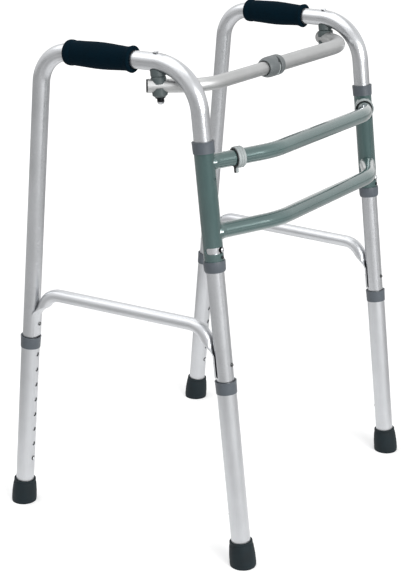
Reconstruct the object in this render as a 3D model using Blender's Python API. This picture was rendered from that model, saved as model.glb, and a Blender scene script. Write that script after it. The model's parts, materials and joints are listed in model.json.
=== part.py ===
"""Folding walking frame: two tube side frames that turn in sleeves on a front frame, joined
above by a telescoping bar, on four legs of adjustable height.

Metres, +Z up, standing on z = 0. The user stands behind it, at +Y, and faces -Y, so the user's
right side is at -X. Distances called rearward are level, in the plane of a side frame, from the
front leg's axis at the height of the sleeve's top. Heights are above the floor.
"""

import math

import bmesh
import bpy
from mathutils import Matrix, Vector

# The stance: the legs' lines and where the side frames hinge
HALF_TRACK = 0.2333
FRONT_AXIS_Y = -0.1274
SLEEVE_TOP_HEIGHT = 0.6205
FRONT_LEAN = math.radians(6.6)
REAR_LEAN = math.radians(5.07)
REAR_FOOT_REARWARD = 0.3268
TOE_OUT = math.radians(2.2)
HANDLE_HEIGHT = 0.7205
FRONT_BEND_RADIUS = 0.070
REAR_BEND_RADIUS = 0.0508

# Tubes: outer diameter and wall
FRAME_TUBE = 0.0250
LOWER_TUBE = 0.0280
CROSSBAR_TUBE = 0.0222
BRACE_TUBE = 0.0190
INNER_BAR_TUBE = 0.01905
OUTER_BAR_TUBE = 0.0222
WALL = 0.0012
FRAME_TUBE_END = 0.050

# The gap left between pieces that touch
GAP = 0.0003

# Height adjustment, measured along each leg from the floor
HOLE_PITCH = 0.0254
HOLE_COUNT = 8
FIRST_HOLE = 0.0783
HOLE_DIAMETER = 0.0068
SNAP_BUTTON_DIAMETER = 0.0060
COLLAR_BASE = 0.2662
COLLAR_HEIGHT = 0.0180
TIP_HEIGHT = 0.0385
TIP_FLOOR_THICKNESS = 0.0080

# Sleeves and crossbars, measured down the sleeves from their tops
SLEEVE_LENGTH = 0.1813
TOP_CAP_HEIGHT = 0.0160
BOTTOM_CAP_HEIGHT = 0.0155
SLEEVE_HOLE_DEPTH = 0.0517
SLEEVE_HOLE_DIAMETER = 0.0036
SLOT_DEPTH = 0.1504
SLOT_HEIGHT = 0.0091
FOLD_TRAVEL = math.radians(86.0)
SLEEVE_RIVET_DEPTH = 0.1608
CROSSBAR_DEPTHS = {"upper_crossbar": 0.0301, "lower_crossbar": 0.1268}
CROSSBAR_FORWARD = 0.0520
CROSSBAR_END_ANGLE = math.radians(29.0)
CROSSBAR_BEND_RADIUS = 0.0907
# How far from the sleeve's axis, and how much the weld there swells the crossbar's radius
WELD_SWELLS = ((0.0, 0.0008), (0.0125, 0.0016), (0.0160, 0.0006), (0.0188, 0.0))
CLIP_DISTANCE = 0.0540
CLIP_WIDTH = 0.0170
CLIP_DIAMETER = 0.0300

# Side braces
BRACE_HEIGHT = 0.3558
BRACE_BEND_RADIUS = 0.0300
BRACE_FOOT_HEIGHT = 0.2872
BRACE_RIVET_HEIGHT = 0.3060
BRACE_FLAT_LENGTH = 0.0330
BRACE_TAPER_LENGTH = 0.0240
BRACE_FLAT_WIDTH = 0.0270
BRACE_FLAT_THICKNESS = 0.0026

# Hand grips, along the handle
GRIP_FRONT_REARWARD = 0.1092
GRIP_LENGTH = 0.1100

# The telescoping top bar
BAR_HEIGHT = 0.6885
BAR_PIVOT_FROM_LEG = 0.0605
BAR_MIDDLE_REARWARD = 0.0165
BAR_END_ANGLE = math.radians(54.0)
BAR_BEND_RADIUS = 0.0727
BAR_TAIL = 0.0155
INNER_BAR_END = 0.0250
OUTER_BAR_END = -0.0090
SLIDER_LENGTH = 0.0150
SLIDER_START = -0.0100
LOCK_DIAMETER = 0.0300
LOCK_RING_FACE = -0.0105
LOCK_NUT_FACE = -0.0120
LOCK_NUT_NOSE = -0.0470
COLLET_END = -0.0300
LOCK_NUT_BORE = 0.0226

# Pivot bolts and saddles, along each bolt from the bar's centreline
BOLT_DIAMETER = 0.0060
BOLT_HOLE = 0.0066
SADDLE_JOINT = 0.0135
SADDLE_NECK = 0.0093
SADDLE_CHAMFER = 0.0020
SADDLE_DIAMETER_OVER_BAR = 0.0020
SADDLE_SKIRT = 0.0030
LOWER_SADDLE_DEPTH = 0.0150

# How finely round shapes are drawn
TUBE_SIDES = 16
THIN_TUBE_SIDES = 14
BRACE_SIDES = 12
SMALL_SIDES = 10
HOLE_SIDES = 8
FRAME_BEND_STEPS = 6
CROSSBAR_BEND_STEPS = 3
BAR_BEND_STEPS = 5

RIGHT, LEFT = -1, 1
SIDES = {"right": RIGHT, "left": LEFT}

# Finishes: linear colour, roughness, metallic
ALUMINIUM = (0.66, 0.67, 0.69), 0.34, 1.0
GREEN_GREY_PAINT = (0.105, 0.165, 0.160), 0.30, 0.3
SLATE_PLASTIC = (0.105, 0.112, 0.135), 0.50, 0.0
DARK_PLASTIC = (0.065, 0.085, 0.085), 0.55, 0.0
LIGHT_PLASTIC = (0.36, 0.39, 0.39), 0.45, 0.0
GREY_PLASTIC = (0.16, 0.175, 0.18), 0.45, 0.0
BLACK_PLASTIC = (0.010, 0.011, 0.012), 0.50, 0.0
FOAM = (0.004, 0.010, 0.016), 0.90, 0.0
RUBBER = (0.016, 0.020, 0.024), 0.75, 0.0
STEEL = (0.52, 0.53, 0.54), 0.30, 1.0


class Centreline:
    """Straight runs joined by round bends in one plane, measured from its first end."""

    def __init__(self, corners, radii):
        """corners are the points where the straight runs would meet; each inner one has a radius."""
        self.pieces = []
        start = corners[0]
        for before, corner, after, radius in zip(corners, corners[1:], corners[2:], radii):
            incoming = (corner - before).normalized()
            outgoing = (after - corner).normalized()
            turn = incoming.angle(outgoing)
            setback = incoming * radius * math.tan(turn / 2)
            inward = (outgoing - incoming * outgoing.dot(incoming)).normalized()
            self.add(start, incoming, None, 0, (corner - setback - start).length)
            self.add(corner - setback, incoming, inward, radius, radius * turn)
            start = corner + outgoing * setback.length
        last = corners[-1] - start
        self.add(start, last.normalized(), None, 0, last.length)
        self.length = sum(piece[-1] for piece in self.pieces)

    def add(self, start, direction, inward, radius, length):
        self.pieces.append((start, direction, inward, radius, length))

    def at(self, distance):
        """The point and the direction at this distance from the first end."""
        for start, direction, inward, radius, length in self.pieces:
            if distance <= length + 1e-9:
                break
            distance -= length
        else:
            distance += length
        if radius == 0:
            return start + direction * distance, direction
        turned_by = distance / radius
        point = start + direction * radius * math.sin(turned_by)
        point = point + inward * radius * (1 - math.cos(turned_by))
        return point, direction * math.cos(turned_by) + inward * math.sin(turned_by)

    def stations(self, bend_steps):
        """Distances that draw it: the ends of each straight run, and steps through each bend."""
        found = [0.0]
        for _, _, _, radius, length in self.pieces:
            steps = bend_steps if radius else 1
            begun = found[-1]
            found += [begun + length * (i + 1) / steps for i in range(steps)]
        return found

    def ring(self, distance, section, normal):
        """A section's points, each across the plane and outward in it, set square to the line."""
        point, direction = self.at(distance)
        outward = direction.cross(normal)
        return [point + normal * across + outward * out for across, out in section]


def circle(radius, sides=TUBE_SIDES):
    """Points round a circle, as pairs."""
    angles = [2 * math.pi * (i + 0.5) / sides for i in range(sides)]
    return [(radius * math.cos(angle), radius * math.sin(angle)) for angle in angles]


def loft(rings, bored=False):
    """A closed mesh through rings of points. A bored one joins its last ring to its first."""
    mesh = bmesh.new()
    loops = [[mesh.verts.new(point) for point in ring] for ring in rings]
    pairs = list(zip(loops, loops[1:]))
    if bored:
        pairs.append((loops[-1], loops[0]))
    for first, second in pairs:
        for i in range(len(first)):
            j = (i + 1) % len(first)
            mesh.faces.new((first[i], first[j], second[j], second[i]))
    if not bored:
        mesh.faces.new(reversed(loops[0]))
        mesh.faces.new(loops[-1])
    bmesh.ops.recalc_face_normals(mesh, faces=mesh.faces)
    return mesh


def turned(profile, bored=False, sides=TUBE_SIDES):
    """A turned piece about local Z, from its outline as pairs of radius and height."""
    rings = [[Vector((x, y, height)) for x, y in circle(radius, sides)] for radius, height in profile]
    return loft(rings, bored)


def drawn_tube(line, normal, diameter, bend_steps, sides=TUBE_SIDES):
    """A bent tube with its bore open at both ends."""
    stations = line.stations(bend_steps)
    outside = [line.ring(at, circle(diameter / 2, sides), normal) for at in stations]
    inside = [line.ring(at, circle(diameter / 2 - WALL, sides), normal) for at in stations]
    return loft(outside + inside[::-1], bored=True)


def rod(line, normal, diameter, bend_steps, sides=TUBE_SIDES):
    """The solid that a bent tube's outside takes up."""
    section = circle(diameter / 2, sides)
    return loft([line.ring(at, section, normal) for at in line.stations(bend_steps)])


def pin(diameter, start, end, sides=SMALL_SIDES):
    """A plain cylinder along local Z."""
    return turned([(diameter / 2, start), (diameter / 2, end)], sides=sides)


def ring_blank(outer, inner, start, end, sides=TUBE_SIDES):
    """A plain tube along local Z."""
    profile = [(outer / 2, start), (outer / 2, end), (inner / 2, end), (inner / 2, start)]
    return turned(profile, bored=True, sides=sides)


def material(name, finish):
    colour, roughness, metallic = finish
    made = bpy.data.materials.new(name)
    made.use_nodes = True
    shader = made.node_tree.nodes["Principled BSDF"]
    shader.inputs["Base Color"].default_value = (*colour, 1.0)
    shader.inputs["Roughness"].default_value = roughness
    shader.inputs["Metallic"].default_value = metallic
    made.diffuse_color = (*colour, 1.0)
    return made


def put(name, mesh, parent, placing=Matrix()):
    """An object of this mesh, placed in its parent's frame."""
    data = bpy.data.meshes.new(name)
    mesh.to_mesh(data)
    mesh.free()
    made = bpy.data.objects.new(name, data)
    bpy.context.scene.collection.objects.link(made)
    made.parent = parent
    made.matrix_basis = placing
    return made


def piece(name, mesh, finish, parent, placing=Matrix()):
    """A sub-part, smooth where its faces meet gently."""
    made = put(name, mesh, parent, placing)
    made.data.shade_smooth()
    made.data.set_sharp_from_angle(angle=math.radians(35))
    made.data.materials.append(material(name, finish))
    return made


def cutter(name, mesh, parent, placing=Matrix()):
    """A shape for a Boolean, which isn't a sub-part itself."""
    made = put(name, mesh, parent, placing)
    made.hide_render = True
    made.display_type = "WIRE"
    return made


def combine(target, tool, operation="DIFFERENCE"):
    modifier = target.modifiers.new(tool.name, "BOOLEAN")
    modifier.operation = operation
    modifier.solver = "EXACT"
    modifier.object = tool


def empty(name, parent, placing):
    made = bpy.data.objects.new(name, None)
    made.empty_display_size = 0.03
    bpy.context.scene.collection.objects.link(made)
    made.parent = parent
    made.matrix_basis = placing
    return made


def world(thing):
    """An object's place in the world, from its parents' placings."""
    if thing is None:
        return Matrix()
    return world(thing.parent) @ thing.matrix_basis


def shift(x, y, z):
    return Matrix.Translation((x, y, z))


def turn(angle, axis):
    return Matrix.Rotation(angle, 4, axis)


def radial(angle):
    """Turns local Z to point outward, level, at this angle from -Y towards +X."""
    return turn(angle, "Z") @ turn(math.pi / 2, "X")


ACROSS = Vector((1, 0, 0))
UP = Vector((0, 0, 1))

# A side frame's pieces are drawn upright, rearward along Y, under an empty that leans with the leg.
UPRIGHT = turn(FRONT_LEAN, "X") @ shift(0, 0, -SLEEVE_TOP_HEIGHT)


def in_plane(rearward, height):
    return Vector((0, rearward, height))


def front_axis_point(height, out=0.0):
    """A point beside the front leg's axis, out from it towards the rear."""
    point = in_plane((height - SLEEVE_TOP_HEIGHT) * math.tan(FRONT_LEAN), height)
    return point + in_plane(math.cos(FRONT_LEAN), -math.sin(FRONT_LEAN)) * out


def rear_axis_point(height, out=0.0):
    """A point beside the rear leg's axis, out from it towards the front."""
    point = in_plane(REAR_FOOT_REARWARD - height * math.tan(REAR_LEAN), height)
    return point - in_plane(math.cos(REAR_LEAN), math.sin(REAR_LEAN)) * out


def side_frame_line():
    """From the front leg's lower end, over the handle, to the rear leg's lower end."""
    corners = [
        front_axis_point(FRAME_TUBE_END),
        front_axis_point(HANDLE_HEIGHT),
        rear_axis_point(HANDLE_HEIGHT),
        rear_axis_point(FRAME_TUBE_END),
    ]
    return Centreline(corners, [FRONT_BEND_RADIUS, REAR_BEND_RADIUS])


def rivet(length):
    """A domed rivet along local Z, its upper head on z = 0 and its lower one at -length."""
    shank, head, rise = 0.0020, 0.0031, 0.0015
    return turned(
        [
            (head * 0.5, -length - rise),
            (head, -length),
            (shank, -length),
            (shank, 0),
            (head, 0),
            (head * 0.5, rise),
        ],
        sides=SMALL_SIDES,
    )


def cap_ring(height):
    """The plastic bush on a tube's upper end: a flared rim, and a lip that laps the tube's end."""
    tube = LOWER_TUBE / 2 + GAP
    lip = FRAME_TUBE / 2 + GAP
    return turned(
        [
            (tube, 0),
            (0.0150, 0),
            (0.0153, height - 0.0050),
            (0.0157, height),
            (0.0144, height),
            (lip, height - 0.0017),
            (lip, height - 0.0033),
            (tube, height - 0.0033),
        ],
        bored=True,
    )


def tail_ring(height):
    """The bush on a sleeve's lower end: its rim faces up and its lower edge is chamfered."""
    tube = LOWER_TUBE / 2 + GAP
    lip = FRAME_TUBE / 2 + GAP
    return turned(
        [
            (tube, height),
            (0.0155, height),
            (0.0157, height - 0.0015),
            (0.0153, 0.0025),
            (0.0142, 0),
            (lip, 0),
            (lip, 0.0033),
            (tube, 0.0033),
        ],
        bored=True,
    )


def slot_cutter(side, name, parent):
    """The slot that lets the lock button turn with the leg, as a bar bent round the outboard side."""
    radius = SLOT_HEIGHT / 2
    spread = math.asin((radius + GAP) / (LOWER_TUBE / 2 - WALL))
    ends = [(-spread * math.cos(angle), radius * math.sin(angle)) for angle in (0.25, 0.7, 1.1, math.pi / 2)]
    steps = [FOLD_TRAVEL * i / 4 for i in range(5)]
    columns = ends + [(angle, radius) for angle in steps[1:-1]]
    columns += [(FOLD_TRAVEL - back, rise) for back, rise in reversed(ends)]
    rings = []
    for angle, rise in columns:
        outward = Vector((side * math.sin(angle), -math.cos(angle), 0))
        rings.append(
            [
                outward * reach + UP * (level - SLOT_DEPTH)
                for reach, level in ((0.0115, -rise), (0.0160, -rise), (0.0160, rise), (0.0115, rise))
            ]
        )
    return cutter(name, loft(rings), parent)


def build_front_frame():
    """Two sleeves with their bushes, and the two crossbars welded to them."""
    root = empty(
        "front_frame_axis",
        None,
        shift(0, FRONT_AXIS_Y, SLEEVE_TOP_HEIGHT) @ turn(-FRONT_LEAN, "X"),
    )
    crossbars = {name: build_crossbar(name, depth, root) for name, depth in CROSSBAR_DEPTHS.items()}
    for word, side in SIDES.items():
        sleeve_axis = empty(f"{word}_sleeve_axis", root, shift(side * HALF_TRACK, 0, 0))
        build_sleeve(word, side, sleeve_axis)
        coping = pin(LOWER_TUBE + 2 * GAP, -SLEEVE_LENGTH, 0, sides=TUBE_SIDES)
        coping = cutter(f"{word}_sleeve_coping", coping, sleeve_axis)
        for crossbar in crossbars.values():
            combine(crossbar, coping)
        build_clip(word, side, root)
    return root


def build_sleeve(word, side, axis):
    """A tube round the front leg, slotted for the lock button."""
    lap = 0.0036
    sleeve = ring_blank(LOWER_TUBE, LOWER_TUBE - 2 * WALL, -SLEEVE_LENGTH + lap, -lap)
    sleeve = piece(f"{word}_sleeve", sleeve, GREEN_GREY_PAINT, axis)
    combine(sleeve, slot_cutter(side, f"{word}_slot", axis))
    forward = radial(0)
    hole = pin(SLEEVE_HOLE_DIAMETER, 0.0100, 0.0160, HOLE_SIDES)
    combine(sleeve, cutter(f"{word}_sleeve_hole", hole, axis, shift(0, 0, -SLEEVE_HOLE_DEPTH) @ forward))
    hole = pin(0.0036, 0.0100, 0.0160, HOLE_SIDES)
    at_rivet = shift(0, 0, -SLEEVE_RIVET_DEPTH) @ forward
    combine(sleeve, cutter(f"{word}_sleeve_rivet_hole", hole, axis, at_rivet))
    head = [(0.0015, 0.0129), (0.0015, 0.0143), (0.0026, 0.0143), (0.0026, 0.0149), (0.0014, 0.0156)]
    piece(f"{word}_sleeve_rivet", turned(head, sides=SMALL_SIDES), DARK_PLASTIC, axis, at_rivet)
    top = shift(0, 0, -TOP_CAP_HEIGHT)
    piece(f"{word}_sleeve_top_cap", cap_ring(TOP_CAP_HEIGHT), SLATE_PLASTIC, axis, top)
    bottom = shift(0, 0, -SLEEVE_LENGTH)
    piece(f"{word}_sleeve_bottom_cap", tail_ring(BOTTOM_CAP_HEIGHT), SLATE_PLASTIC, axis, bottom)


def crossbar_line(depth):
    run = CROSSBAR_FORWARD / math.tan(CROSSBAR_END_ANGLE)
    corners = [
        Vector((-HALF_TRACK, 0, -depth)),
        Vector((-HALF_TRACK + run, -CROSSBAR_FORWARD, -depth)),
        Vector((HALF_TRACK - run, -CROSSBAR_FORWARD, -depth)),
        Vector((HALF_TRACK, 0, -depth)),
    ]
    return Centreline(corners, [CROSSBAR_BEND_RADIUS] * 2)


def build_crossbar(name, depth, root):
    """A bowed tube from sleeve to sleeve, swelled by its welds, its ends coped to sit there."""
    line = crossbar_line(depth)
    radius = CROSSBAR_TUBE / 2
    between = [(at, radius) for at in line.stations(CROSSBAR_BEND_STEPS)[1:-1]]
    near = [(at, radius + swell) for at, swell in WELD_SWELLS]
    far = [(line.length - at, wide) for at, wide in near[::-1]]
    drawn = near + between + far
    outside = [line.ring(at, circle(wide, THIN_TUBE_SIDES), UP) for at, wide in drawn]
    bored = [line.length] + [at for at, _ in between[::-1]] + [0.0]
    inside = [line.ring(at, circle(radius - WALL, THIN_TUBE_SIDES), UP) for at in bored]
    return piece(name, loft(outside + inside, bored=True), GREEN_GREY_PAINT, root)


def build_clip(word, side, root):
    """A plastic ring with a lug under it, on a black liner, round the upper crossbar's end."""
    line = crossbar_line(CROSSBAR_DEPTHS["upper_crossbar"])
    point, direction = line.at(CLIP_DISTANCE)
    heading = math.atan2(direction.y, direction.x)
    if side == LEFT:
        point = Vector((-point.x, point.y, point.z))
        heading = math.pi - heading
    # Local Z runs inboard along the bar, and local Y points up.
    placing = shift(*point) @ turn(heading, "Z") @ turn(math.pi / 2, "Z") @ turn(math.pi / 2, "X")
    axis = empty(f"{word}_clip_axis", root, placing)
    half = CLIP_WIDTH / 2
    liner_outer, liner_inner = 0.0258, CROSSBAR_TUBE + 2 * GAP
    clip = ring_blank(CLIP_DIAMETER, liner_outer + 2 * GAP, -half, half)
    clip = piece(f"{word}_clip_ring", clip, LIGHT_PLASTIC, axis)
    lug = box(0.0050, 0.0075, 0.0042, (0, -0.0175, -half + 0.0021))
    combine(clip, cutter(f"{word}_clip_lug", lug, axis), "UNION")
    liner = ring_blank(liner_outer, liner_inner, -half - 0.0012, half - 0.0010)
    liner = piece(f"{word}_clip_liner", liner, BLACK_PLASTIC, axis)
    tab = box(0.0042, 0.0092, 0.0009, (0, -0.0165, -half - GAP - 0.00045))
    combine(liner, cutter(f"{word}_clip_liner_tab", tab, axis), "UNION")


def box(width, depth, height, centre):
    """A block of this size along X, Y and Z."""
    mesh = bmesh.new()
    bmesh.ops.create_cube(mesh, size=1)
    bmesh.ops.scale(mesh, vec=(width, depth, height), verts=mesh.verts)
    bmesh.ops.translate(mesh, vec=centre, verts=mesh.verts)
    return mesh


def build_side_frame(word, side, root):
    """A side frame: one bent tube from front leg to rear leg, with its grip, brace and legs."""
    placing = shift(side * HALF_TRACK, 0, 0) @ turn(-side * TOE_OUT, "Z")
    hinge = empty(f"{word}_fold_axis", root, placing)
    line = side_frame_line()
    tube = drawn_tube(line, ACROSS, FRAME_TUBE, FRAME_BEND_STEPS)
    frame = piece(f"{word}_frame_tube", tube, ALUMINIUM, hinge, UPRIGHT)
    build_grip(word, hinge, line)
    brace = build_brace(word, hinge)
    rivet_brace(word, hinge, frame, brace)
    build_lock_button(word, hinge, frame)
    front_foot = UPRIGHT @ shift(*front_axis_point(0)) @ turn(-FRONT_LEAN, "X")
    rear_foot = UPRIGHT @ shift(*rear_axis_point(0)) @ turn(REAR_LEAN, "X")
    build_leg(f"{word}_front", empty(f"{word}_front_leg_axis", hinge, front_foot), frame, math.pi)
    build_leg(f"{word}_rear", empty(f"{word}_rear_leg_axis", hinge, rear_foot), frame, 0)
    return hinge, frame


def build_grip(word, hinge, line):
    """The foam grip: flared at its front, swelling to the palm, with a ring at its rear."""
    start = line.stations(1)[2] + GRIP_FRONT_REARWARD - line.at(line.stations(1)[2])[0].y
    outline = [
        (0.0000, 0.0178),
        (0.0015, 0.0185),
        (0.0050, 0.0180),
        (0.0110, 0.0166),
        (0.0230, 0.0171),
        (0.0420, 0.0181),
        (0.0600, 0.0185),
        (0.0780, 0.0181),
        (0.0950, 0.0172),
        (0.0985, 0.0178),
        (0.1040, 0.0180),
        (0.1080, 0.0173),
        (GRIP_LENGTH, 0.0155),
    ]
    outside = [line.ring(start + along, circle(radius), ACROSS) for along, radius in outline]
    bore = FRAME_TUBE / 2 + GAP
    # The bore opens a little at the rear, where the handle starts to bend.
    bores = [(GRIP_LENGTH, bore + 0.0003), (0.1060, bore), (0.0, bore)]
    inside = [line.ring(start + along, circle(radius), ACROSS) for along, radius in bores]
    piece(f"{word}_grip", loft(outside + inside, bored=True), FOAM, hinge, UPRIGHT)


def pressed_section(roundness, inset=0.0):
    """A tube's section, from pressed flat round the leg (0) to round (1), inset by a wall."""
    half_width = BRACE_FLAT_WIDTH / 2 + (BRACE_TUBE - BRACE_FLAT_WIDTH) / 2 * roundness
    half_depth = BRACE_FLAT_THICKNESS / 2 + (BRACE_TUBE - BRACE_FLAT_THICKNESS) / 2 * roundness
    squareness = 2 / (2 + 4 * (1 - roundness))
    # The side against the leg stays where the round tube's is, and the rest is pressed to it.
    towards_leg = BRACE_TUBE / 2 - half_depth
    curl = (1 - roundness) / (FRAME_TUBE / 2 + GAP + half_depth)
    width, depth = half_width - inset, max(half_depth - inset, 0.0002)
    points = []
    for i in range(BRACE_SIDES):
        angle = 2 * math.pi * i / BRACE_SIDES
        # Flat sections have their points at even steps across, as a curled strip needs.
        even = 1 - 2 * angle / math.pi if angle <= math.pi else 2 * angle / math.pi - 3
        across = (even + (math.cos(angle) - even) * roundness) * width
        out = math.copysign(abs(math.sin(angle)) ** squareness, math.sin(angle)) * depth
        if curl > 0.1:
            radius = 1 / curl
            angle = across * curl
            across, out = (radius + out) * math.sin(angle), (radius + out) * math.cos(angle) - radius
        points.append((across, out - towards_leg))
    return points


def brace_line():
    """The brace's centreline, each foot running down beside its leg."""
    out = FRAME_TUBE / 2 + GAP + BRACE_TUBE / 2
    lean_front, lean_rear = math.tan(FRONT_LEAN), math.tan(REAR_LEAN)
    front_low, rear_low = front_axis_point(BRACE_FOOT_HEIGHT, out), rear_axis_point(BRACE_FOOT_HEIGHT, out)
    front_high = in_plane(front_low.y + (BRACE_HEIGHT - front_low.z) * lean_front, BRACE_HEIGHT)
    rear_high = in_plane(rear_low.y - (BRACE_HEIGHT - rear_low.z) * lean_rear, BRACE_HEIGHT)
    return Centreline([front_low, front_high, rear_high, rear_low], [BRACE_BEND_RADIUS] * 2)


def build_brace(word, hinge):
    """The low side brace, whose ends are pressed flat and curled round the legs."""
    line = brace_line()
    bend_end = line.stations(1)[2]
    taper_end = BRACE_FLAT_LENGTH + BRACE_TAPER_LENGTH
    near_end = [(0.0, 0.0), (BRACE_FLAT_LENGTH, 0.0)]
    for share in (0.25, 0.5, 0.75, 1.0):
        roundness = share * share * (3 - 2 * share)
        near_end.append((BRACE_FLAT_LENGTH + BRACE_TAPER_LENGTH * share, roundness))
    for share in (0.5, 1.0):
        near_end.append((taper_end + (bend_end - taper_end) * share, 1.0))
    sections = near_end + [(line.length - at, roundness) for at, roundness in reversed(near_end)]
    outside = [line.ring(at, pressed_section(roundness), ACROSS) for at, roundness in sections]
    inside = [line.ring(at, pressed_section(roundness, WALL), ACROSS) for at, roundness in sections]
    brace = loft(outside + inside[::-1], bored=True)
    return piece(f"{word}_brace", brace, ALUMINIUM, hinge, UPRIGHT)


def rivet_brace(word, hinge, frame, brace):
    """A rivet through each pressed end of the brace and the leg behind it."""
    reach = FRAME_TUBE / 2 + GAP
    length = 2 * reach + BRACE_FLAT_THICKNESS + 2 * GAP
    # Each rivet's local Z points from the leg out through the brace's pressed end.
    places = {
        "front": (front_axis_point(BRACE_RIVET_HEIGHT), turn(-math.pi / 2 - FRONT_LEAN, "X")),
        "rear": (rear_axis_point(BRACE_RIVET_HEIGHT), turn(math.pi / 2 + REAR_LEAN, "X")),
    }
    for end, (point, aim) in places.items():
        placing = UPRIGHT @ shift(*point) @ aim
        outer_face = shift(0, 0, reach + BRACE_FLAT_THICKNESS + GAP)
        hole = cutter(f"{word}_{end}_rivet_hole", pin(0.0046, -0.020, 0.020, HOLE_SIDES), hinge, placing)
        combine(frame, hole)
        combine(brace, hole)
        piece(f"{word}_brace_{end}_rivet", rivet(length), STEEL, hinge, placing @ outer_face)


def button(diameter, tip, flange_radius, root):
    """A sprung button along local Z, with the flange that keeps it in its tube."""
    radius = diameter / 2
    return turned(
        [
            (flange_radius, root),
            (flange_radius, root + 0.0010),
            (radius, root + 0.0010),
            (radius, tip - 0.0012),
            (radius * 0.8, tip - 0.0004),
            (radius * 0.4, tip),
        ],
        sides=SMALL_SIDES,
    )


def build_lock_button(word, hinge, frame):
    """The button that holds the side frame open, in the front leg at the sleeve's slot."""
    placing = shift(0, 0, -SLOT_DEPTH) @ radial(0)
    hole = cutter(f"{word}_lock_button_hole", pin(0.0091, 0.0, 0.0160, SMALL_SIDES), hinge, placing)
    combine(frame, hole)
    axis = empty(f"{word}_lock_button_axis", hinge, placing)
    piece(f"{word}_lock_button", button(0.0085, 0.0160, 0.0054, 0.0082), STEEL, axis)


def build_leg(name, axis, frame, facing):
    """A lower leg on its upper tube: a tube with a row of holes, a collar, a tip and a button."""
    towards = radial(facing)
    top = COLLAR_BASE + COLLAR_HEIGHT - 0.0036
    bottom = TIP_FLOOR_THICKNESS + GAP
    tube = ring_blank(LOWER_TUBE, LOWER_TUBE - 2 * WALL, bottom, top)
    tube = piece(f"{name}_lower_tube", tube, ALUMINIUM, axis)
    for i in range(HOLE_COUNT):
        at_hole = shift(0, 0, FIRST_HOLE + i * HOLE_PITCH) @ towards
        hole = pin(HOLE_DIAMETER, 0.0090, 0.0160, HOLE_SIDES)
        combine(tube, cutter(f"{name}_hole_{i + 1}", hole, axis, at_hole))
    at_button = shift(0, 0, FIRST_HOLE) @ towards
    hole = pin(SNAP_BUTTON_DIAMETER + 2 * GAP, 0.0, 0.0160, HOLE_SIDES)
    combine(frame, cutter(f"{name}_snap_hole", hole, axis, at_button))
    snap = button(SNAP_BUTTON_DIAMETER, 0.0162, 0.0042, 0.0088)
    piece(f"{name}_snap_button", snap, STEEL, axis, at_button)
    piece(f"{name}_collar", cap_ring(COLLAR_HEIGHT), SLATE_PLASTIC, axis, shift(0, 0, COLLAR_BASE))
    build_tip(name, axis)


def build_tip(name, axis):
    """The rubber foot, moulded wider than the leg and flat on the floor though the leg leans."""
    bore = LOWER_TUBE / 2 + GAP
    tip = turned(
        [
            (0.0165, -0.0045),
            (0.0190, -0.0010),
            (0.0195, 0.0040),
            (0.0193, 0.0160),
            (0.0180, 0.0300),
            (0.0171, TIP_HEIGHT - 0.0045),
            (0.0164, TIP_HEIGHT - 0.0035),
            (0.0171, TIP_HEIGHT - 0.0022),
            (0.0168, TIP_HEIGHT),
            (bore, TIP_HEIGHT),
            (bore, TIP_FLOOR_THICKNESS),
        ]
    )
    to_world = world(axis)
    down = to_world.to_3x3().inverted() @ -UP
    on_floor = to_world.inverted() @ Vector((to_world.translation.x, to_world.translation.y, 0))
    everything = tip.verts[:] + tip.edges[:] + tip.faces[:]
    cut = bmesh.ops.bisect_plane(tip, geom=everything, plane_co=on_floor, plane_no=down, clear_outer=True)
    rim = [item for item in cut["geom_cut"] if isinstance(item, bmesh.types.BMEdge)]
    bmesh.ops.contextual_create(tip, geom=rim)
    bmesh.ops.recalc_face_normals(tip, faces=tip.faces)
    piece(f"{name}_tip", tip, RUBBER, axis)


def bar_line(pivot, first, last):
    """The top bar's centreline from its right tail, or from x = first, to x = last or its left tail."""
    middle_y = FRONT_AXIS_Y + BAR_MIDDLE_REARWARD
    run = (pivot.y - middle_y) / math.tan(BAR_END_ANGLE)
    tail = Vector((math.cos(BAR_END_ANGLE), math.sin(BAR_END_ANGLE), 0)) * BAR_TAIL
    corner = Vector((pivot.x - run, middle_y, BAR_HEIGHT))
    if first is None:
        outer = Vector((-pivot.x, pivot.y, BAR_HEIGHT)) + Vector((-tail.x, tail.y, 0))
        corners = [outer, Vector((-corner.x, corner.y, BAR_HEIGHT)), Vector((last, middle_y, BAR_HEIGHT))]
    else:
        corners = [Vector((first, middle_y, BAR_HEIGHT)), corner, pivot + tail]
    return Centreline(corners, [BAR_BEND_RADIUS])


def bolt_placing(hinge):
    """The bolt's axis beside the front leg, with local Z along it and its origin at the bar."""
    on_leg = SLEEVE_TOP_HEIGHT - BAR_HEIGHT
    along = (-on_leg - BAR_PIVOT_FROM_LEG * -math.sin(FRONT_LEAN)) / math.cos(FRONT_LEAN)
    return world(hinge) @ shift(0, BAR_PIVOT_FROM_LEG, along)


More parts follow.
